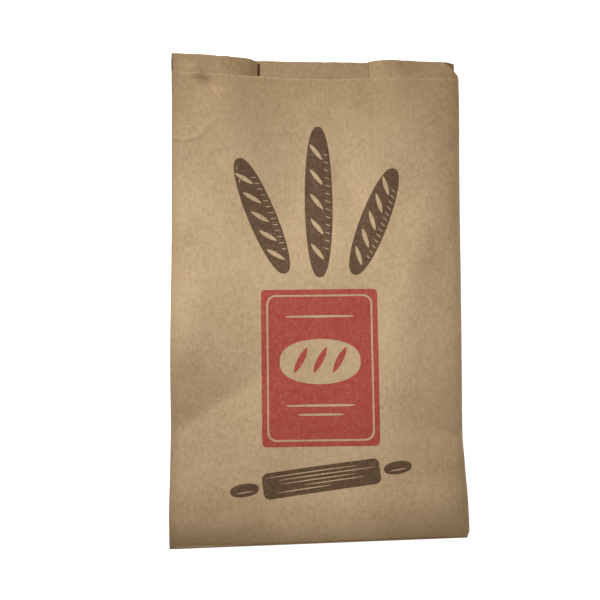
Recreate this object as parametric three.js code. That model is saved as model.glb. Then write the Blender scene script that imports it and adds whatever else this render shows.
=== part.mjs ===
// A gusseted kraft paper bread bag, empty, lying on its back with the printed front up.
// It is one sheet of paper: a flat tube with a gusset folded in at each side, open at the
// mouth, and flattened, folded under and glued at the bottom.
// Millimetres, +X to the right, +Y towards the mouth, +Z up, floor at z = 0.
import * as THREE from 'three';

// the tube
const WIDTH = 200;          // flat width, fold to fold
const LENGTH = 328;         // bottom fold to the cut edge of the back panel
const LEFT_GUSSET = 60.5;   // depth of the side gussets, fold to inner fold
const RIGHT_GUSSET = 63.5;
const PAPER = 0.2;          // ply thickness, thicker than the real 0.1
const PLY_GAP = 0.1;        // air between two plies that are pressed together
const PITCH = PAPER + PLY_GAP;
const STACK = 3 * PITCH + PAPER; // front, two gusset plies and back, pressed flat

// the bottom, folded under
const FOLD_RADIUS = 0.15;   // inside of the fold
const FLAP = 22;            // length of the glued flap under the back panel
const GLUE_END = 2;         // solid strip at the end of the flap, where the tube is shut
const FOLD_Y = FOLD_RADIUS + STACK; // centre of the fold, in y and in z: its edge is at y = 0
const FLAP_CLEAR_Y = 24;    // the back panel lies over the flap up to here
const TABLE_Y = 48;         // and flat on the table from here on
const SWELL_LENGTH = 30;    // the tube swells from flat to its full height over this length

// the mouth: the front panel's lip is cut lower than the back
const LIP_DROP = 13;
const LIP_DIP = 2.3;        // extra depth of the lip in the middle
const DIP_FLAT = 11;        // the dip is deepest up to here from the middle
const DIP_HALF_WIDTH = 34;  // and over from here on
const LIP_RISE = 2;         // the lip's left end rises by this much
const RISE_LENGTH = 10;
const CORNER_CUT = 7;       // width of the slanting cut in the right gusset's front ply
const MOUTH_ZONE = 40;      // the cut edge shapes the mesh over this last stretch
const MOUTH_ZONE_Y = LENGTH - MOUTH_ZONE;

// heights of the front panel above the pressed stack: near the foot, halfway and at the mouth
const STATIONS = [25, 164, LENGTH];
const MIDDLE_RISE = [4.0, 7.0, 4.8];
const LEFT_LIFT = [-1.0, -2.2, 4.6];
const RIGHT_LIFT = [-1.2, -2.4, -0.8];
const NOSE_RISE = [1.7, 3.6, 4.5]; // of the gussets' rounded inner folds, above their pressed height
const NOSE_FOOT = 0.15;     // the underside of the inner folds stands off the back panel
const EDGE_ROLL = 0.9;      // the panel rounds over towards its side folds
const EDGE_ROLL_POWER = 10;
const NOSE_ROUNDNESS = 2.4; // how far a gusset's inner fold is rounded, along X

// how far the sides come in at the three stations; they spread again at the bottom
const LEFT_PULL = [-0.1, 1.5, 2.6];
const RIGHT_PULL = [3.5, 2.3, 0.3];
const SPREAD_LENGTH = 90;
const BACK_TUCK = 1.7;      // the back panel's right corner at the mouth lies further in

// steps of the mesh
const FRONT_STEPS = 14;
const BACK_STEPS = 4;
const PLY_STOPS = [0, 0.125, 0.4, 0.7, 1];
const NOSE_STEPS = 4;
const BEND_STEPS = 4;
const MOUTH_STOPS = [1, 0.86, 0.66, 0.33];
const TUBE_Y = [
  MOUTH_ZONE_Y, 245, 200, 155, 115, 82, 60, TABLE_Y, 38, 30, FLAP_CLEAR_Y, 17, 11, 7, 4.2, 2.6,
];

const { clamp, smoothstep, lerp } = THREE.MathUtils;

// smooth curve through the values at the three stations
function along(y, values) {
  const [a, b, c] = STATIONS;
  const [p, q, r] = values;
  return p * (y - b) * (y - c) / ((a - b) * (a - c))
    + q * (y - a) * (y - c) / ((b - a) * (b - c))
    + r * (y - a) * (y - b) / ((c - a) * (c - b));
}

// 0 where the bottom is pressed flat, 1 from SWELL_LENGTH on, steep at first like a pillow's edge
function swell(y) {
  const s = clamp((y - FOLD_Y) / SWELL_LENGTH, 0, 1);
  return Math.sqrt(1 - (1 - s) ** 2);
}

// half the bag's width on one side: -1 is left, 1 is right
function halfWidth(side, y) {
  const pull = along(y, side < 0 ? LEFT_PULL : RIGHT_PULL);
  return (WIDTH - PAPER) / 2 - pull * smoothstep(y, FOLD_Y, SPREAD_LENGTH);
}

function backHalfWidth(side, y) {
  const tuck = side < 0 ? 0 : BACK_TUCK * smoothstep(y, MOUTH_ZONE_Y, LENGTH);
  return halfWidth(side, y) - tuck;
}

// from a side fold inwards to where the panel beside it ends
const FOLD_REACH = PITCH / 2;

// underside of the back panel above the table
function floorGap(y) {
  const overFlap = STACK + 2 * FOLD_RADIUS;
  return overFlap * (1 - smoothstep(y, FLAP_CLEAR_Y, TABLE_Y));
}

// centre height of ply 0 (back panel), 1 and 2 (gusset) or 3 (front panel) where pressed flat
function pressed(ply) {
  return PAPER / 2 + ply * PITCH;
}

function frontHeight(x, y) {
  const side = Math.sign(x);
  const u = Math.min(Math.abs(x) / halfWidth(side, y), 1);
  const lift = along(y, side < 0 ? LEFT_LIFT : RIGHT_LIFT);
  const rise = along(y, MIDDLE_RISE) + lift * u * u - EDGE_ROLL * u ** EDGE_ROLL_POWER;
  return pressed(3) + rise * swell(y);
}

function foldHeight(side, y) {
  return frontHeight(side * (halfWidth(side, y) - FOLD_REACH), y);
}

// height and width of the rounded inner fold of a gusset
function nose(y) {
  const low = pressed(1) + NOSE_FOOT * swell(y);
  const high = pressed(2) + along(y, NOSE_RISE) * swell(y);
  return { low, high, reach: Math.min(NOSE_ROUNDNESS, (high - low) / 2) };
}

// how far short of LENGTH the mouth is cut, for each part of the tube
function lipDrop(x) {
  const dip = LIP_DIP * (1 - smoothstep(Math.abs(x), DIP_FLAT, DIP_HALF_WIDTH));
  const rise = LIP_RISE * clamp((-x - WIDTH / 2 + RISE_LENGTH) / RISE_LENGTH, 0, 1);
  return LIP_DROP + dip - rise;
}

function cornerDrop(side, inward) {
  return side < 0 ? 0 : LIP_DROP * clamp(1 - inward / CORNER_CUT, 0, 1);
}

// The section round the tube is a closed line of stops, in parts. Each stop says how far short
// of LENGTH the sheet is cut there, and where it passes at height y, as x and height.
function frontPanel() {
  return Array.from({ length: FRONT_STEPS + 1 }, (_, i) => {
    const t = 2 * i / FRONT_STEPS - 1;
    const u = 1.5 * t - 0.5 * t ** 3; // stops crowd towards the side folds
    const at = (y) => u * (halfWidth(Math.sign(u), y) - FOLD_REACH);
    return { drop: lipDrop(u * WIDTH / 2), place: (y) => [at(y), frontHeight(at(y), y)] };
  });
}

function backPanel() {
  return Array.from({ length: BACK_STEPS + 1 }, (_, i) => {
    const t = 1 - 2 * i / BACK_STEPS;
    const at = (y) => t * (backHalfWidth(Math.sign(t), y) - FOLD_REACH);
    return { drop: 0, place: (y) => [at(y), pressed(0)] };
  });
}

// the tight folds at a side, each a single stop between two plies
function frontFold(side) {
  return [{
    drop: (lipDrop(side * WIDTH / 2) + cornerDrop(side, 0)) / 2,
    place: (y) => [side * halfWidth(side, y), foldHeight(side, y) - PITCH / 2],
  }];
}

function backFold(side) {
  return [{ drop: 0, place: (y) => [side * backHalfWidth(side, y), pressed(0) + PITCH / 2] }];
}

// front ply from the side fold inwards, round the inner fold, and the back ply out again
function gusset(side) {
  const depth = side < 0 ? LEFT_GUSSET : RIGHT_GUSSET;
  const noseX = (y) => WIDTH / 2 - depth + nose(y).reach;
  const across = (share, half, y) => side * lerp(half(side, y) - FOLD_REACH, noseX(y), share);
  const frontPly = PLY_STOPS.map((share) => ({
    drop: cornerDrop(side, share * depth),
    place: (y) => [
      across(share, halfWidth, y), lerp(foldHeight(side, y) - PITCH, nose(y).high, share),
    ],
  }));
  const backPly = [...PLY_STOPS].reverse().map((share) => ({
    drop: 0,
    place: (y) => [across(share, backHalfWidth, y), lerp(pressed(1), nose(y).low, share)],
  }));
  const innerFold = Array.from({ length: NOSE_STEPS - 1 }, (_, i) => {
    const turn = Math.PI * (i + 1) / NOSE_STEPS;
    const place = (y) => {
      const { low, high, reach } = nose(y);
      return [side * (noseX(y) - reach * Math.sin(turn)), lerp(low, high, (1 + Math.cos(turn)) / 2)];
    };
    return { drop: 0, place };
  });
  return [...frontPly, ...innerFold, ...backPly];
}

// The stations that the sheet's section is carried through, from the mouth down the tube,
// round the bottom fold and back along the flap.
function path() {
  const straight = (y, h) => [y, floorGap(y) + h];
  const stations = MOUTH_STOPS.map((stop) => ({
    height: (drop) => lerp(MOUTH_ZONE_Y, LENGTH - drop, stop), carry: straight,
  }));
  for (const y of [...TUBE_Y, FOLD_Y]) stations.push({ height: () => y, carry: straight });
  for (let i = 1; i <= BEND_STEPS; i++) {
    const turn = Math.PI * i / BEND_STEPS;
    stations.push({
      height: () => FOLD_Y,
      carry: (y, h) => [
        FOLD_Y - (FOLD_RADIUS + h) * Math.sin(turn),
        FOLD_Y + (FOLD_RADIUS + h) * Math.cos(turn),
      ],
    });
  }
  for (const end of [FLAP - GLUE_END, FLAP]) {
    stations.push({ height: () => FOLD_Y, carry: (y, h) => [end, FOLD_Y - FOLD_RADIUS - h] });
  }
  return stations;
}

// a stop's place at height y, moved outwards by half the paper (side 1) or inwards (side -1)
function facePoint(stops, i, y, side) {
  const [before, point, after] = [-1, 0, 1].map((step) => (
    new THREE.Vector2(...stops.at((i + step) % stops.length).place(y))
  ));
  const from = point.clone().sub(before).normalize();
  const way = after.sub(point).normalize().add(from).normalize();
  return [point.x - side * way.y * PAPER / 2, point.y + side * way.x * PAPER / 2];
}

// triangles between two lines of points that both run from left to right
function ladder(upper, lower, xOf) {
  const triangles = [];
  let [i, j] = [0, 0];
  while (i < upper.length - 1 || j < lower.length - 1) {
    const lowerFirst = i === upper.length - 1
      || (j < lower.length - 1 && xOf(lower[j + 1]) <= xOf(upper[i + 1]));
    const corners = [upper[i], lower[j], lowerFirst ? lower[j + 1] : upper[i + 1]];
    if (new Set(corners).size === 3) triangles.push(corners);
    if (lowerFirst) j += 1;
    else i += 1;
  }
  return triangles;
}

// fills the section where the tube is glued shut: above and below the gussets' inner folds
function shutEnd(parts, xOf) {
  const [front, rightFold, right, rightBackFold, back, leftBackFold, left, leftFold] = parts;
  const tip = (right.length - 1) / 2;
  const frontLine = [...leftFold, ...front, ...rightFold];
  const underFront = [
    ...leftFold, ...left.slice(tip).reverse(), ...right.slice(0, tip + 1).reverse(), ...rightFold,
  ];
  const overBack = [...leftBackFold, ...left.slice(0, tip + 1), ...right.slice(tip), ...rightBackFold];
  const backLine = [...leftBackFold, ...back.reverse(), ...rightBackFold];
  return [...ladder(frontLine, underFront, xOf), ...ladder(overBack, backLine, xOf)];
}

function bagGeometry() {
  const sectionParts = [
    frontPanel(), frontFold(1), gusset(1), backFold(1),
    backPanel(), backFold(-1), gusset(-1).reverse(), frontFold(-1),
  ];
  const stops = sectionParts.flat();
  const count = stops.length;
  const stations = path();
  const positions = [];
  const triangles = [];

  // one ring of points per station, outside (1) and inside (-1); the inside ends short
  const rings = { 1: [], [-1]: [] };
  for (const side of [1, -1]) {
    for (const { height, carry } of side > 0 ? stations : stations.slice(0, -1)) {
      rings[side].push(positions.length / 3);
      stops.forEach((stop, i) => {
        const stopY = height(stop.drop);
        const [x, h] = facePoint(stops, i, stopY, side);
        const [y, z] = carry(stopY, h);
        positions.push(x, y - LENGTH / 2, z);
      });
    }
  }

  // walls: outside faces out, inside faces in
  for (const side of [1, -1]) {
    rings[side].slice(1).forEach((next, k) => {
      const start = rings[side][k];
      for (let i = 0; i < count; i++) {
        const j = (i + 1) % count;
        const [a, b, c, d] = [start + i, start + j, next + i, next + j];
        triangles.push(...(side > 0 ? [a, c, b, b, c, d] : [a, b, c, b, d, c]));
      }
    });
  }

  // the cut edge at the mouth
  const [outer, inner] = [rings[1][0], rings[-1][0]];
  for (let i = 0; i < count; i++) {
    const j = (i + 1) % count;
    triangles.push(outer + i, outer + j, inner + j, outer + i, inner + j, inner + i);
  }

  // the glued end of the flap, outside and inside
  for (const side of [1, -1]) {
    let next = rings[side].at(-1);
    const parts = sectionParts.map((part) => part.map(() => next++));
    for (const [a, b, c] of shutEnd(parts, (index) => positions[3 * index])) {
      triangles.push(...(side > 0 ? [a, b, c] : [a, c, b]));
    }
  }

  const geometry = new THREE.BufferGeometry();
  geometry.setAttribute('position', new THREE.Float32BufferAttribute(positions, 3));
  geometry.setIndex(triangles);
  geometry.computeVertexNormals();
  return geometry;
}

const kraft = new THREE.MeshStandardMaterial({ color: 0xb59a75, roughness: 0.85, metalness: 0 });
const bag = new THREE.Mesh(bagGeometry(), kraft);
bag.name = 'paper_bag';

const breadBag = new THREE.Group();
breadBag.add(bag);

export default breadBag;
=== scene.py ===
# An empty brown paper bread bag, lying flat on its back with the printed front up.
import math
from functools import partial

import bmesh
import bpy
from mathutils import Matrix, Vector, noise
from mathutils.bvhtree import BVHTree


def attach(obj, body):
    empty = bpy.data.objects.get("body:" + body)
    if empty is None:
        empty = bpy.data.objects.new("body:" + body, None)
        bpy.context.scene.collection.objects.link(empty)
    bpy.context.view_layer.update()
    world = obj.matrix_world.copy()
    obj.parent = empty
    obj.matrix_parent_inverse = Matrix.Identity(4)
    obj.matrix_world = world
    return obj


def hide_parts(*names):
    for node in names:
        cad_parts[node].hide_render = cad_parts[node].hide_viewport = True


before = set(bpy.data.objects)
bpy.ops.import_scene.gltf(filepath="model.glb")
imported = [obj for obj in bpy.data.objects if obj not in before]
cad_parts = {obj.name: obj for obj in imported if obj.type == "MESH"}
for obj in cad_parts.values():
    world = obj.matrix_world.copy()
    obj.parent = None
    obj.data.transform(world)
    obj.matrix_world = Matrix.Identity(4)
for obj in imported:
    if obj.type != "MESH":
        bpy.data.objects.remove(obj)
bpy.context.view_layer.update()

# ---------------------------------------------------------------------------------------
# The bag: one web of kraft paper, folded lengthwise into a tube with a gusset in each
# side and glued along the back. The bottom is pressed flat, folded under and glued, and
# the mouth is cut with the front lip lower than the back.
# ---------------------------------------------------------------------------------------
MM = 0.001                     # sizes are in millimetres, with y from the bottom fold
WIDTH, LENGTH = 200.0, 328.0
LEFT_GUSSET, RIGHT_GUSSET = 59.8, 63.5
SEAM_X, SEAM_LAP = 45.0, 12.0  # the glued seam along the back panel
FLAP = 22.0                    # what is folded under the bottom
BACK_LANDS = 48.0              # past the flap, the back lies on the table from here up
PAPER = 0.12
PITCH = 0.3                    # from one pressed ply to the next
LOWEST_PLY = 0.1
STACK = 1.1                    # the four pressed plies at the bottom
FOLD_RADIUS = 0.15
FOLD_Y = FOLD_RADIUS + STACK
SIDE_FOLD = (WIDTH - 0.2) / 2
BACK_EDGE = SIDE_FOLD - PITCH / 2

# How the empty bag bulges, near the foot, halfway and at the mouth.
STATIONS = (25.0, 164.0, LENGTH)
MIDDLE_RISE = (4.0, 7.0, 3.6)    # the front panel's middle, over its pressed place
LEFT_LIFT = (-1.0, -2.2, 5.8)    # the front panel's sides, against its middle
RIGHT_LIFT = (-1.2, -2.4, 0.4)
NOSE_RISE = (1.7, 3.6, 4.0)      # the gussets' inner folds
LEFT_PULL = (-0.1, 1.5, 2.6)     # how far the side folds are drawn in
RIGHT_PULL = (3.5, 2.3, 0.3)
SWELL_REACH = 30.0               # from the pressed bottom to the full bulge


def clamped(value):
    return min(max(value, 0.0), 1.0)


def ramp(value, start, end):
    # 0 before the start, 1 past the end and smooth between them
    t = clamped((value - start) / (end - start))
    return t * t * (3 - 2 * t)


def mix(a, b, t):
    return a + (b - a) * t


def by_side(x, left, right):
    return left if x < 0 else right


def along(y, values):
    # a smooth curve through the values at the stations
    a, b, c = STATIONS
    p, q, r = values
    return (p * (y - b) * (y - c) / ((a - b) * (a - c))
            + q * (y - a) * (y - c) / ((b - a) * (b - c))
            + r * (y - a) * (y - b) / ((c - a) * (c - b)))


def swell(y, x=0.0):
    # 0 at the bottom fold, which is pressed flat further up at the left, then up to 1 like
    # a pillow's edge
    pressed_flat = mix(2.5, FOLD_Y, ramp(x, -82, -42))
    s = clamped((y - pressed_flat) / SWELL_REACH)
    return (1 - (1 - s) ** 2) ** 0.68


def near_mouth(y):
    return ramp(y, LENGTH - 50, LENGTH - 8)


def half_width(side, y):
    # from the middle to a side fold; the right one has a rubbed corner at the bottom
    pull = along(y, by_side(side, LEFT_PULL, RIGHT_PULL))
    rubbed_corner = by_side(side, 0.0, 1.2) * (1 - ramp(y, FOLD_Y, 5))
    return SIDE_FOLD - pull * ramp(y, FOLD_Y, 90) - rubbed_corner


def back_half_width(side, y):
    # the back's right side fold slants in at the mouth
    tuck = by_side(side, 0.0, 1.7) * ramp(y, LENGTH - 40, LENGTH)
    return half_width(side, y) - tuck


def pressed(ply):
    # the height of a ply's middle in the pressed stack, from 0 for the back panel to 3
    return LOWEST_PLY + ply * PITCH


# What the front has been through. Dents and rises: x, y, the two radii, turn and height.
DENTS = (
    (75, 314, 10, 16, -12, -0.5),
    (53, 314, 10, 17, -14, 0.45),
    (-104, 332, 26, 24, 0, 1.2),
    (-83, 307, 35, 39, 10, 0.4),
    (-62, 297, 16, 50, 18, 1.3),
    (79, 289, 30, 50, 121, 1.6),
    (-86, 272, 50, 10, 42, 0.3),
    (-16, 272, 34, 50, -1, -1.6),
    (21, 241, 12, 50, 9, -1.6),
    (-14, 236, 38, 50, -4, -3.4),
    (98, 222, 50, 7, 90, -0.55),
    (66, 190, 14, 50, -17, 1.5),
    (-93, 148, 20, 50, -17, 1.6),
    (-94, 125, 49, 21, 61, 1.6),
    (52, 98, 32, 50, -32, 1.6),
    (-64, 88, 29, 50, -54, -1.6),
    (52, 50, 50, 39, -78, 2.8),
    (-61, 41, 35, 11, 6, 0.75),
    (-86, 15, 47, 8, 0, 0.6),
    (-15, 6, 45, 12, 2, 0.9),
    (103, 28, 13, 32, 0, -1.5),
    (-82, 316.5, 7.5, 4, -33, 1.9),
    (-72.5, 308.5, 7, 4, -35, -1.4),
    (-84, 290, 12, 26, 0, -0.6),
    (103, 110, 14, 50, 0, -1.0),
)
# Shallow valleys that run in from a side: from x, y to x, y, depth, reach above and below.
VALLEYS = (
    (-94, 77.5, -1, 136, 2.8, 19, 22),
    (100, 64, 35, 91, 2.8, 22, 10),
)
# Thin wrinkles: from x, y to x, y, height and width.
WRINKLES = (
    (-104, 270.4, -86, 269.9, 0.5, 1.4),
    (-89, 269.7, -77, 273.6, 0.45, 1.3),
    (-81, 272, -70, 282, 0.25, 1.8),
    (-89, 286, -71, 293, 0.14, 2.2),
    (-56, 257, -51, 238, 0.16, 1.8),
    (-61, 206, -58, 186, 0.16, 1.8),
    (70, 212, 78, 186, 0.16, 2.4),
)


def from_line(x, y, x0, y0, x1, y1):
    # how far along a line, from 0 to 1, and how far to its left
    length = math.hypot(x1 - x0, y1 - y0)
    ux, uy = (x1 - x0) / length, (y1 - y0) / length
    return ((x - x0) * ux + (y - y0) * uy) / length, (y - y0) * ux - (x - x0) * uy


def relief(x, y):
    # what the dents, valleys, wrinkles and a faint overall unevenness add to the front
    height = 0.0
    for cx, cy, rx, ry, turn, rise in DENTS:
        c, s = math.cos(math.radians(turn)), math.sin(math.radians(turn))
        u = ((x - cx) * c + (y - cy) * s) / rx
        v = (-(x - cx) * s + (y - cy) * c) / ry
        height += rise * math.exp(-u * u - v * v)
    for x0, y0, x1, y1, depth, above, below in VALLEYS:
        t, off = from_line(x, y, x0, y0, x1, y1)
        off = off if x0 < x1 else -off
        reach = above if off > 0 else below
        height -= depth * (1 - ramp(t, 0.1, 1.0)) * math.exp(-math.hypot(off, 1.5) / reach)
    for x0, y0, x1, y1, rise, width in WRINKLES:
        t, off = from_line(x, y, x0, y0, x1, y1)
        if -0.1 < t < 1.1:
            fade_in, fade_out = ramp(t, -0.1, 0.25), ramp(-t, -1.1, -0.6)
            height += rise * fade_in * fade_out * math.exp(-(off / width) ** 2)
    broad = noise.noise(Vector((x / 38, y / 44, 3.1)))
    small = noise.noise(Vector((x / 13, y / 15, 7.7)))
    return (height + 0.4 * broad + 0.12 * small) * swell(y, x)


def front_height(x, y):
    # the front panel without its relief, rolled down to its side folds
    u = min(abs(x) / half_width(by_side(x, -1, 1), y), 1.0)
    lift = along(y, by_side(x, LEFT_LIFT, RIGHT_LIFT))
    rise = along(y, MIDDLE_RISE) + lift * u * u - 1.1 * u ** 9
    return pressed(3) + rise * swell(y, x)


def panel_height(x, y):
    # the front panel, never lower than a flat stack of four plies
    spare = front_height(x, y) + relief(x, y) - pressed(3)
    return pressed(3) + (spare + math.sqrt(spare * spare + 0.16 * swell(y, x))) / 2


def edge_wave(x):
    # the cut edges waver a little
    return 0.28 * noise.noise(Vector((x / 7.0, 0.3, 1.9))) + 0.12 * math.sin(x / 1.9)


def lip_drop(x):
    # how far the front lip is cut below the back's edge: more in the middle, less at the left
    dip = 1.0 * (1 - ramp(abs(x), 11, 34))
    rise = 2.0 * clamped((-x - 90) / 10)
    return 13.0 + dip - rise + edge_wave(x)


def corner_drop(side, inward):
    # the slanting cut at the right gusset's outer fold, and the rounded left inner fold
    if side < 0:
        return 1.6 * clamped((inward - LEFT_GUSSET) / 5.0 + 1) ** 2
    return 10.5 * clamped(1 - inward / 8.5)


# The gussets. A gusset's inner fold is its nose: the folds at the sides are pressed, and
# the noses are round, stand up inside the bag and sink towards the mouth.
NOSE_X = 39.0
LEFT_MOUTH_NOSE, RIGHT_MOUTH_NOSE = 1.7, 1.8


def gusset_depth(side):
    return by_side(side, LEFT_GUSSET, RIGHT_GUSSET)


def nose(side, y):
    # the heights of a nose's underside and top, and how far it is rounded
    low = pressed(1) + 0.15 * swell(y)
    high = pressed(2) + along(y, NOSE_RISE) * swell(y) + relief(side * NOSE_X, y)
    high = mix(high, by_side(side, LEFT_MOUTH_NOSE, RIGHT_MOUTH_NOSE), near_mouth(y))
    high = max(min(high, panel_height(side * NOSE_X, y) - PITCH), low + PITCH)
    return low, high, min(2.4, (high - low) * mix(1.2, 0.4, near_mouth(y)))


def mouth_flare(x):
    # the waves in the gussets' front plies, just at the mouth
    return (1.3 * math.exp(-((x - 50) / 9) ** 2) - 0.9 * math.exp(-((x - 80) / 11) ** 2)
            + 0.3 * math.exp(-((x + 78) / 7) ** 2))


# Each of the next places gives x and height at a y. A gusset's share is 0 at its side fold
# and 1 where its nose begins.
def gusset_front(side, share, y):
    # runs down from the front panel to the nose: evenly lower down, and at the mouth only
    # just before the nose
    low, high, reach = nose(side, y)
    inner = WIDTH / 2 - gusset_depth(side) + reach
    x = mix(half_width(side, y) - PITCH / 2, inner, share)
    fall = share ** mix(1, by_side(side, 8, 9), near_mouth(y))
    under = mix(PITCH + 0.35 * near_mouth(y), panel_height(side * inner, y) - high, fall)
    free = ramp(y, LENGTH - 14, LENGTH)
    height = panel_height(side * x, y) - under + free * mouth_flare(side * x)
    return side * x, max(height, mix(pressed(2), low + PITCH, share))


def gusset_back(side, share, y):
    # lies on the back panel; the right one puffs up at the mouth, but never past its front
    low, high, reach = nose(side, y)
    inner = WIDTH / 2 - gusset_depth(side) + reach
    x = mix(back_half_width(side, y) - PITCH / 2, inner, share)
    swelling, sinking = ramp(share, 0, 0.14), 1 - ramp(share, 0.3, 0.9)
    puff = by_side(side, 0.0, 3.3) * near_mouth(y) * swelling * sinking
    height = mix(pressed(1), low, share) + puff
    return side * x, min(height, gusset_front(side, share, y)[1] - PITCH)


def gusset_nose(side, turn, y):
    low, high, reach = nose(side, y)
    x = WIDTH / 2 - gusset_depth(side) + reach - reach * math.sin(turn)
    return side * x, mix(low, high, (1 + math.cos(turn)) / 2)


def back_panel(x, raised, y):
    # flat on the table, and a step higher where the seam's lap lies on it
    step = 0.14 * ramp(-x, -SEAM_X - SEAM_LAP - 3, -SEAM_X - SEAM_LAP) if raised else 0.0
    side = by_side(x, -1, 1)
    inner = min(abs(x) / BACK_EDGE, 1.0)
    return side * inner * (back_half_width(side, y) - PITCH / 2), pressed(0) + step


def front_panel(u, y):
    # u is -1 at the left side fold and 1 at the right one; the lip's edge curls down
    x = u * (half_width(by_side(u, -1, 1), y) - PITCH / 2)
    from_lip = LENGTH - lip_drop(u * WIDTH / 2) - y
    curl = max(1 - from_lip / 1.8, 0.0) ** 2 * ramp(-abs(u), -1.0, -0.96)
    return x, panel_height(x, y) - 0.3 * curl


def back_side_fold(side, y):
    return side * back_half_width(side, y), pressed(0) + PITCH / 2


def front_side_fold(side, y):
    top = panel_height(side * (half_width(side, y) - PITCH / 2), y)
    return side * half_width(side, y), top - PITCH / 2


# The web's columns run along the tube. Each has how far it is cut short of the full length,
# its place, how much its paper is worn light, and how much painted shade it carries.
def back_columns(first, last, count, raised):
    spots = [mix(first, last, i / count) for i in range(count + 1)]
    return [(edge_wave(x + 31), partial(back_panel, x, raised), 0.0, 0.0) for x in spots]


def front_columns(count):
    # closer together towards the side folds, where the paper is worn
    made = []
    for i in range(count + 1):
        t = 2 * i / count - 1
        u = 1.2 * t - 0.2 * t ** 5
        wear = max(0.0, abs(u) * 60 - 59)
        made.append((lip_drop(u * WIDTH / 2), partial(front_panel, u), wear, 0.0))
    return made


def side_fold_columns(side):
    # the front's side fold and the back's
    cut = (lip_drop(side * WIDTH / 2) + corner_drop(side, 0)) / 2
    return ((cut, partial(front_side_fold, side), 0.4, 0.0),
            (0.0, partial(back_side_fold, side), 1.0, 0.0))


def gusset_columns(side):
    # from the front's side fold in to the nose, round it and back out; closer together at
    # the side folds and at the nose. The right nose and the ply just before it carry painted
    # shade.
    depth = gusset_depth(side)
    shares = [0.0, 0.007, 0.022, 0.05] + [1 - 0.91 * (1 - i / 12) ** 1.3 for i in range(13)]
    front = [(corner_drop(side, share * depth) + edge_wave(side * share * 60),
              partial(gusset_front, side, share), 0.0,
              by_side(side, 0.0, 0.3) * ramp(share, 0.93, 1)) for share in shares]
    nose_cut = edge_wave(side * 61) + by_side(side, corner_drop(side, depth), 0.0)
    round_end = [(nose_cut, partial(gusset_nose, side, math.pi * i / 8), 0.0,
                  by_side(side, 0.0, 0.9)) for i in range(1, 8)]
    back = [(by_side(side, corner_drop(side, share * depth), 0.0)
             + edge_wave(side * share * 60 + 17),
             partial(gusset_back, side, share), 0.0, 0.0) for share in shares[::-1]]
    return front + round_end + back


left_front_fold, left_back_fold = side_fold_columns(-1)
right_front_fold, right_back_fold = side_fold_columns(1)
columns = back_columns(SEAM_X + SEAM_LAP, -BACK_EDGE, 25, False)
columns += [left_back_fold] + gusset_columns(-1)[::-1] + [left_front_fold]
columns += front_columns(124)
columns += [right_front_fold] + gusset_columns(1) + [right_back_fold]
columns += back_columns(BACK_EDGE, SEAM_X, 14, True)

# The web's rows run round the tube, from the flap's end round the bottom fold, where they
# are turns in degrees, and up to the mouth, where they are shares of what each column has.
MOUTH_ROWS_FROM = LENGTH - 40
rows = [("flap", y) for y in (FLAP, 19, 16, 13, 10, 7, 4.5, 2.5)]
rows += [("bend", turn) for turn in (180, 157, 135, 112, 90, 67, 45, 22)]
rows += [("tube", y) for y in (FOLD_Y, 1.6, 2.0, 2.25, 2.6, 3.1, 3.8, 4.8)]
rows += [("tube", y) for y in (6.2, 8.0, 10, 12.1, 14.2)]
rows += [("tube", mix(16.4, 262, i / 112)) for i in range(112)]
rows += [("tube", mix(262, MOUTH_ROWS_FROM, i / 24)) for i in range(25)]
rows += [("mouth", 1 - (1 - i / 26) ** 1.4) for i in range(1, 27)]


def carry(kind, value, cut, place):
    # where the web's point at a row and a column ends up
    if kind in ("tube", "mouth"):
        y = value if kind == "tube" else mix(MOUTH_ROWS_FROM, LENGTH - cut, value)
        x, h = place(y)
        return x, y, h + (STACK + 2 * FOLD_RADIUS) * (1 - ramp(y, FLAP + 2, BACK_LANDS))
    x, h = place(FOLD_Y)
    if kind == "flap":
        return x, value, FOLD_Y - FOLD_RADIUS - h
    turn = math.radians(value)
    return (x, FOLD_Y - (FOLD_RADIUS + h) * math.sin(turn),
            FOLD_Y + (FOLD_RADIUS + h) * math.cos(turn))


def painted_shade_at(x, y):
    # painted shade: darker along the side folds, with a dark line at the left one, along the
    # bottom fold and at the lower right corner, where the paper turns away from the light
    from_side = half_width(by_side(x, -1, 1), y) - abs(x)
    line = by_side(x, 0.42, 0.0)
    side = 0.22 * (1 - ramp(from_side, 0, 8)) + line * (1 - ramp(from_side, 0.3, 1.6))
    foot = 0.30 * (1 - ramp(y, 2, 22)) * mix(0.2, 1.0, ramp(abs(x), 15, 60))
    corner = 0.20 * ramp(x - 0.5 * y, 58, 95)
    return side + foot + corner


web = bmesh.new()
bmesh.ops.create_grid(web, x_segments=len(columns) - 1, y_segments=len(rows) - 1, size=0.5)
worn = web.verts.layers.float.new("worn")
# the next layer holds painted shade, which darkens the paper
painted_shade = web.verts.layers.float.new("painted_shade")
for v in web.verts:
    i = round((v.co.x + 0.5) * (len(columns) - 1))
    j = round((v.co.y + 0.5) * (len(rows) - 1))
    cut, place, fold_wear, column_shade = columns[i]
    kind, value = rows[j]
    x, y, z = carry(kind, value, cut, place)
    v.co = Vector((x, y - LENGTH / 2, z)) * MM
    cut_wear = max(1 - (LENGTH - cut - y) / 1.4, 0.0) if kind == "mouth" else 0.0
    foot_wear = 0.3 * (1 - ramp(x, -60, -30)) if kind == "bend" else 0.0
    v[worn] = max(fold_wear, cut_wear, foot_wear)
    v[painted_shade] = painted_shade_at(x, y) + column_shade
for face in web.faces:
    face.smooth = True
bag_mesh = bpy.data.meshes.new("bag_paper")
web.to_mesh(bag_mesh)
paper_middle = BVHTree.FromBMesh(web)
web.free()
bag = bpy.data.objects.new("bag_paper", bag_mesh)
bpy.context.collection.objects.link(bag)
thickness = bag.modifiers.new("paper", "SOLIDIFY")
thickness.thickness = PAPER * MM
thickness.offset = 0.0

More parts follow.
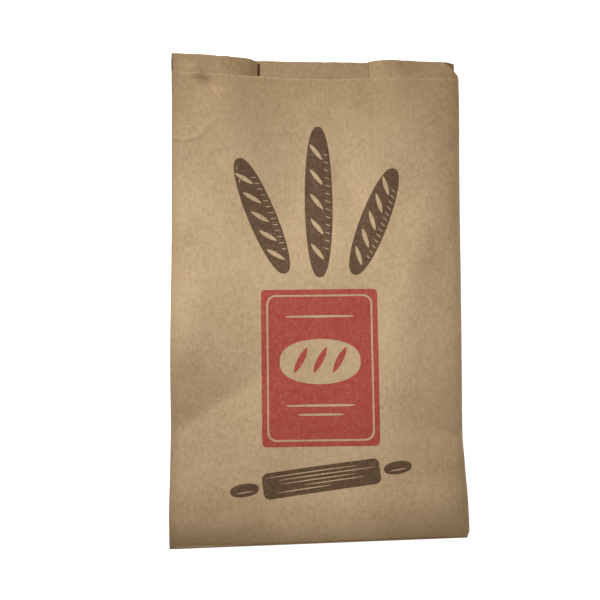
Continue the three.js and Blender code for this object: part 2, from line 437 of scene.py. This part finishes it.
# Kraft paper: long and short fibres pressed into a sheet, in clouds of light and dark.
KRAFT_DARK = (0.335, 0.234, 0.127, 1.0)
KRAFT = (0.475, 0.350, 0.209, 1.0)
KRAFT_LIGHT = (0.585, 0.447, 0.284, 1.0)
FLECK = (0.27, 0.175, 0.095, 1.0)
# the next colour is painted shade, laid along the folds, the bottom fold, the lower right
# corner and the right nose
PAINTED_SHADE = (0.21, 0.138, 0.066, 1.0)
SCUFFED = (0.62, 0.48, 0.32, 1.0)
# painted shade: the paper is darker and warmer towards the mouth, where less of the key light
# falls
MOUTH_SHADE_TINT = (0.98, 0.95, 0.895, 1.0)
MOUTH_SHADE_FROM, MOUTH_SHADE_TO = 0.100, 0.140  # metres up from the bag's middle
TOOTH_DEPTH = 0.06 * MM


class Finish:
    # a material's nodes, added and joined one after another
    def __init__(self, name):
        self.material = bpy.data.materials.new(name)
        self.material.use_nodes = True
        self.tree = self.material.node_tree
        self.shader = self.tree.nodes["Principled BSDF"]
        self.coords = self.add("ShaderNodeTexCoord").outputs["Object"]

    def add(self, kind, **settings):
        node = self.tree.nodes.new(kind)
        for name, value in settings.items():
            setattr(node, name, value)
        return node

    def feed(self, socket, value):
        if hasattr(value, "is_output"):
            self.tree.links.new(value, socket)
        else:
            socket.default_value = value

    def paint(self, name, value):
        self.feed(self.shader.inputs[name], value)

    def stretched(self, scale, turn=0.0):
        mapping = self.add("ShaderNodeMapping")
        mapping.inputs["Scale"].default_value = scale
        mapping.inputs["Rotation"].default_value = (0, 0, math.radians(turn))
        self.feed(mapping.inputs["Vector"], self.coords)
        return mapping.outputs["Vector"]

    def clouds(self, vector, scale, detail, roughness=0.5):
        node = self.add("ShaderNodeTexNoise")
        for name, value in (("Vector", vector), ("Scale", scale), ("Detail", detail),
                            ("Roughness", roughness)):
            self.feed(node.inputs[name], value)
        return node.outputs["Fac"]

    def spread(self, value, low, high, to_low=0.0, to_high=1.0):
        node = self.add("ShaderNodeMapRange")
        for name, number in (("Value", value), ("From Min", low), ("From Max", high),
                             ("To Min", to_low), ("To Max", to_high)):
            self.feed(node.inputs[name], number)
        return node.outputs["Result"]

    def around(self, value, reach):
        # the usual spread of a noise, turned into as much less and more than nothing
        return self.spread(value, 0.3, 0.7, -reach, reach)

    def reckon(self, operation, a, b):
        node = self.add("ShaderNodeMath", operation=operation)
        self.feed(node.inputs[0], a)
        self.feed(node.inputs[1], b)
        return node.outputs[0]

    def sum(self, first, *others):
        for other in others:
            first = self.reckon("ADD", first, other)
        return first

    def blend(self, amount, a, b, how="MIX"):
        node = self.add("ShaderNodeMix", data_type="RGBA", blend_type=how)
        self.feed(next(s for s in node.inputs if s.name == "Factor"), amount)
        colours = [s for s in node.inputs if s.type == "RGBA"]
        self.feed(colours[0], a)
        self.feed(colours[1], b)
        return next(s for s in node.outputs if s.type == "RGBA")

    def attribute(self, name):
        return self.add("ShaderNodeAttribute", attribute_name=name).outputs["Fac"]

    def bump(self, height, distance):
        node = self.add("ShaderNodeBump")
        self.feed(node.inputs["Distance"], distance)
        self.feed(node.inputs["Strength"], 1.0)
        self.feed(node.inputs["Height"], height)
        self.paint("Normal", node.outputs["Normal"])


def paper_fibres(finish):
    # clouds, long fibres, crossing fibres and fine tooth, each from 0 to 1; they also make
    # the paper's faint roughness to the touch
    clouds = finish.clouds(finish.stretched((1, 0.6, 1)), 440, 3, 0.65)
    long = finish.clouds(finish.stretched((1300, 230, 1300)), 1, 2)
    crossing = finish.clouds(finish.stretched((230, 1700, 1700), 24), 1, 2)
    tooth = finish.clouds(finish.coords, 2600, 2)
    finish.bump(finish.sum(clouds, long, crossing, tooth), TOOTH_DEPTH)
    return clouds, long, crossing


kraft = Finish("kraft_paper")
clouds, long, crossing = paper_fibres(kraft)
broad = kraft.clouds(kraft.coords, 28, 2)
tone = kraft.sum(kraft.around(clouds, 0.42), kraft.around(long, 0.27),
                 kraft.around(crossing, 0.26), kraft.around(broad, 0.26))
colour = kraft.blend(kraft.spread(tone, 0.0, 1.2), KRAFT, KRAFT_LIGHT)
colour = kraft.blend(kraft.spread(tone, 0.0, -1.2), colour, KRAFT_DARK)
specks = kraft.clouds(kraft.stretched((1, 0.5, 1)), 1300, 1)
colour = kraft.blend(kraft.spread(specks, 0.71, 0.80, 0.0, 0.6), colour, FLECK)
patchy = kraft.spread(clouds, 0.3, 0.7, 0.7, 1.3)
# painted shade from the vertex layer, broken up by the clouds
painted_shade_amount = kraft.reckon("MULTIPLY", kraft.attribute("painted_shade"), patchy)
colour = kraft.blend(painted_shade_amount, colour, PAINTED_SHADE)
split = kraft.add("ShaderNodeSeparateXYZ")
kraft.feed(split.inputs[0], kraft.coords)
# painted shade, darker and warmer towards the mouth
mouth_shade = kraft.spread(split.outputs["Y"], MOUTH_SHADE_FROM, MOUTH_SHADE_TO)
colour = kraft.blend(mouth_shade, colour, MOUTH_SHADE_TINT, "MULTIPLY")
scuff = kraft.reckon("MULTIPLY", kraft.attribute("worn"), kraft.spread(clouds, 0.35, 0.6))
colour = kraft.blend(kraft.spread(scuff, 0.1, 0.9, 0.0, 0.5), colour, SCUFFED)
kraft.paint("Base Color", colour)
kraft.paint("Specular IOR Level", 0.25)
kraft.paint("Roughness", kraft.spread(clouds, 0.3, 0.7, 0.72, 0.86))
bag_mesh.materials.append(kraft.material)

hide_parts("paper_bag")
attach(bag, "root")

# ---------------------------------------------------------------------------------------
# The label: a field of red ink printed on the front panel, a thin film that follows the
# paper. A frame line, rules and a loaf are left bare in it, and the loaf has three red cuts.
# ---------------------------------------------------------------------------------------
INK = 0.05                     # the film's thickness, half of it in the paper
MESH_STEP = 2                  # the film is cut this fine to follow the paper
LABEL_X, LABEL_Y = 0.0, 117.0
LABEL_WIDTH, LABEL_HEIGHT = 78.0, 104.0
FRAME_INSET, FRAME_LINE = 3.5, 1.2
BARE_LOAF_LENGTH, BARE_LOAF_WIDTH = 54, 30
RULES = ((34, 46), (-25, 46), (-31, 30))  # height over the label's middle, and length
RED, RED_THIN = (0.340, 0.049, 0.041, 1.0), (0.43, 0.125, 0.086, 1.0)


def move(x, y, turn=0.0):
    return Matrix.Translation((x, y, 0)) @ Matrix.Rotation(math.radians(turn), 4, "Z")


def oval(bm, where, length, width, segments, point):
    # a closed outline; a point over 1 sharpens its ends, and one under 1 blunts them
    ring = bmesh.ops.create_circle(bm, segments=segments, radius=1)["verts"]
    for v in ring:
        c, s = v.co.x, v.co.y
        across = math.copysign(abs(s) ** point, s)
        v.co = where @ Vector((c * length / 2, across * width / 2, 0))


def rounded_panel(bm, where, width, height, corner):
    # a rectangle's outline with rounded corners
    ring = bmesh.ops.create_circle(bm, segments=4, radius=math.sqrt(0.5))["verts"]
    for v in ring:
        turned = Matrix.Rotation(math.radians(45), 3, "Z") @ v.co
        v.co = where @ Vector((turned.x * width, turned.y * height, 0))
    bmesh.ops.bevel(bm, geom=ring, offset=corner, offset_type="OFFSET", affect="VERTICES",
                    segments=5, profile=0.5, material=-1)


def print_film(name, bm, ink):
    # fills the outlines, cuts the film fine enough to follow the paper and lays it down
    bmesh.ops.triangle_fill(bm, edges=bm.edges[:], use_beauty=True)
    for axis in (0, 1):
        span = [v.co[axis] for v in bm.verts]
        cut = math.ceil(min(span) / MESH_STEP) * MESH_STEP
        while cut < max(span):
            bmesh.ops.bisect_plane(
                bm, geom=bm.verts[:] + bm.edges[:] + bm.faces[:], dist=1e-4,
                plane_co=[cut if i == axis else 0 for i in range(3)],
                plane_no=[1 if i == axis else 0 for i in range(3)])
            cut += MESH_STEP
    bmesh.ops.recalc_face_normals(bm, faces=bm.faces[:])
    if sum(f.normal.z for f in bm.faces) < 0:
        bmesh.ops.reverse_faces(bm, faces=bm.faces[:])
    for v in bm.verts:
        above = Vector((v.co.x * MM, (v.co.y - LENGTH / 2) * MM, 0.05))
        ground = paper_middle.ray_cast(above, Vector((0, 0, -1)))[0]
        v.co = (above.x, above.y, ground.z + (PAPER + INK) / 2 * MM)
    bmesh.ops.solidify(bm, geom=bm.faces[:], thickness=INK * MM)
    mesh = bpy.data.meshes.new(name)
    bm.to_mesh(mesh)
    bm.free()
    mesh.materials.append(ink)
    film = bpy.data.objects.new(name, mesh)
    bpy.context.collection.objects.link(film)
    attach(film, "root")


def ink_material(name, full, thin):
    # ink over fibres: thin on the raised ones, with the odd pinhole
    ink = Finish(name)
    clouds, long, crossing = paper_fibres(ink)
    raised = ink.sum(ink.spread(clouds, 0.35, 0.75), ink.spread(crossing, 0.4, 0.8, 0.0, 0.6))
    colour = ink.blend(ink.spread(raised, 0.0, 1.4, 0.0, 0.75), full, thin)
    pinholes = ink.spread(ink.clouds(ink.coords, 1700, 1), 0.70, 0.75)
    ink.paint("Base Color", ink.blend(pinholes, colour, KRAFT))
    ink.paint("Specular IOR Level", 0.12)
    ink.paint("Roughness", ink.spread(clouds, 0.3, 0.7, 0.62, 0.78))
    return ink.material


red_ink = ink_material("red_ink", RED, RED_THIN)
label = bmesh.new()
centre = move(LABEL_X, LABEL_Y)
rounded_panel(label, centre, LABEL_WIDTH, LABEL_HEIGHT, 3.0)
for inset, corner in ((FRAME_INSET, 6.0), (FRAME_INSET + FRAME_LINE, 5.2)):
    rounded_panel(label, centre, LABEL_WIDTH - 2 * inset, LABEL_HEIGHT - 2 * inset, corner)
oval(label, centre @ move(0, 4), BARE_LOAF_LENGTH, BARE_LOAF_WIDTH, 56, 0.8)
for step in (-1, 0, 1):
    oval(label, centre @ move(13 * step, 5, 62), 19, 4.4, 20, 1.4)
for height, length in RULES:
    oval(label, centre @ move(0, height), length, 1.5, 24, 0.5)
print_film("print_label", label, red_ink)

# ---------------------------------------------------------------------------------------
# Three long loaves in brown ink, fanned out above the label. Each has slanting cuts left
# bare along its middle, and fine bare hatch lines along one side.
# ---------------------------------------------------------------------------------------
LOAVES = ((-38.0, 219.0, 112.0, 84.0), (0.5, 229.0, 90.0, 104.0), (38.0, 215.0, 68.0, 78.0))
LOAF_WIDTH = 19
CUTS, HATCHES = 5, 13
BROWN, BROWN_THIN = (0.088, 0.052, 0.032, 1.0), (0.18, 0.118, 0.071, 1.0)

brown_ink = ink_material("brown_ink", BROWN, BROWN_THIN)
for number, (x, y, turn, length) in enumerate(LOAVES):
    loaf = bmesh.new()
    where = move(x, y, turn)
    oval(loaf, where, length, LOAF_WIDTH, 60, 0.82)
    for i in range(CUTS):
        spot = (i - CUTS // 2) * length * 0.165
        oval(loaf, where @ move(spot, 1.4, 38), 14, 3.0, 18, 1.5)
    for i in range(HATCHES):
        spot = (i - HATCHES // 2) * length * 0.052
        crust = LOAF_WIDTH / 2 * (1 - (2 * spot / length) ** 2) ** 0.41
        depth = 0.46 * crust
        oval(loaf, where @ move(spot, 1.0 + depth / 2 - crust, 70), depth, 0.6, 10, 1.3)
    print_film(f"print_loaf_{number + 1}", loaf, brown_ink)

# ---------------------------------------------------------------------------------------
# A rolling pin in brown ink under the label: a barrel with long bare hatch lines, and a
# handle with one such line at each end.
# ---------------------------------------------------------------------------------------
BARREL_LENGTH, BARREL_WIDTH = 78, 17
BARREL_HATCHES = ((-6, 62), (4, 66), (-2, 50), (8, 40), (-12, 36))  # shift and length
HANDLE_SHIFT = 51

pin = bmesh.new()
where = move(0, 44, 7)
rounded_panel(pin, where, BARREL_LENGTH, BARREL_WIDTH, 4.0)
for i, (shift, length) in enumerate(BARREL_HATCHES):
    oval(pin, where @ move(shift, 5.4 - 2.6 * i), length, 0.75, 24, 1.0)
print_film("print_pin_barrel", pin, brown_ink)
for side, end in ((-1, "left"), (1, "right")):
    handle = bmesh.new()
    oval(handle, where @ move(side * HANDLE_SHIFT, 0), 19, 8.5, 32, 0.8)
    oval(handle, where @ move(side * HANDLE_SHIFT, -1.4), 11, 0.8, 16, 1.0)
    print_film(f"print_pin_handle_{end}", handle, brown_ink)

# ---------------------------------------------------------------------------------------
# The table: a wide plain board, painted white and lit so evenly that no shadow shows on
# it. It throws no light back on the bag.
# ---------------------------------------------------------------------------------------
TABLE_HALF = 1.5               # metres

board = bmesh.new()
bmesh.ops.create_grid(board, x_segments=1, y_segments=1, size=TABLE_HALF)
board_mesh = bpy.data.meshes.new("table")
board.to_mesh(board_mesh)
board.free()
table = bpy.data.objects.new("table", board_mesh)
bpy.context.collection.objects.link(table)
table.visible_diffuse = False
white = Finish("table_white")
white.paint("Base Color", (0.86, 0.86, 0.86, 1.0))
white.paint("Roughness", 0.9)
white.paint("Emission Color", (1.0, 1.0, 1.0, 1.0))
white.paint("Emission Strength", 1.0)
board_mesh.materials.append(white.material)

# ---------------------------------------------------------------------------------------
# Studio light: a soft spot from the upper left that fades towards the bag's corners, a
# small disc over the middle, and a warm, even surround.
# ---------------------------------------------------------------------------------------
KEY_AIM = Vector((0.118, -0.078, 0.005))
KEY_TURN, KEY_HEIGHT = math.radians(143), math.radians(31)
KEY_DISTANCE = 1.1
DISC_PLACE, DISC_AIM = (-0.02, 0.0, 0.25), (-0.02, 0.0, 0.0)


def hang(name, light, place, aim):
    lamp = bpy.data.objects.new(name, light)
    lamp.location = place
    lamp.rotation_euler = (Vector(aim) - Vector(place)).to_track_quat("-Z", "Y").to_euler()
    lamp.visible_camera = False
    bpy.context.collection.objects.link(lamp)


towards_key = Vector((math.cos(KEY_HEIGHT) * math.cos(KEY_TURN),
                      math.cos(KEY_HEIGHT) * math.sin(KEY_TURN), math.sin(KEY_HEIGHT)))
key = bpy.data.lights.new("key_light", "SPOT")
key.energy = 64.0
key.spot_size = math.radians(35.0)
key.spot_blend = 1.0
key.shadow_soft_size = 0.12
hang("key_light", key, KEY_AIM + KEY_DISTANCE * towards_key, KEY_AIM)

disc = bpy.data.lights.new("near_light", "AREA")
disc.shape = "DISK"
disc.size = 0.08
disc.energy = 0.035
hang("near_light", disc, DISC_PLACE, DISC_AIM)

# the surround lights the bag warmly and dimly, and is itself seen as a pale backdrop
surround = bpy.data.worlds.new("surround")
surround.use_nodes = True
room = surround.node_tree
glow = room.nodes["Background"]
glow.inputs["Color"].default_value = (1.0, 0.66, 0.34, 1)
glow.inputs["Strength"].default_value = 0.125
backdrop = room.nodes.new("ShaderNodeBackground")
backdrop.inputs["Color"].default_value = (0.9, 0.9, 0.9, 1)
sight = room.nodes.new("ShaderNodeLightPath")
choice = room.nodes.new("ShaderNodeMixShader")
room.links.new(sight.outputs["Is Camera Ray"], choice.inputs["Fac"])
room.links.new(glow.outputs["Background"], choice.inputs[1])
room.links.new(backdrop.outputs["Background"], choice.inputs[2])
room.links.new(choice.outputs["Shader"], room.nodes["World Output"].inputs["Surface"])
bpy.context.scene.world = surround
bpy.context.scene.view_settings.view_transform = "Standard"

# ---------------------------------------------------------------------------------------
# The camera: a short lens close over the bag, a little left of its middle, that looks
# straight down apart from a few degrees. Its film is shifted to set the bag in the picture.
# ---------------------------------------------------------------------------------------
CAMERA_PLACE = (-0.0249, -0.0083, 0.3817)
CAMERA_TURNS = (2.88, -3.64, -0.72)  # degrees from looking straight down

lens = bpy.data.cameras.new("camera")
lens.sensor_width = 36.0
lens.lens = 33.6
lens.shift_x = -0.0299
lens.shift_y = -0.0307
lens.clip_start = 0.01
camera = bpy.data.objects.new("camera", lens)
camera.location = CAMERA_PLACE
camera.rotation_euler = [math.radians(angle) for angle in CAMERA_TURNS]
bpy.context.collection.objects.link(camera)
bpy.context.scene.camera = camera

bpy.context.view_layer.update()
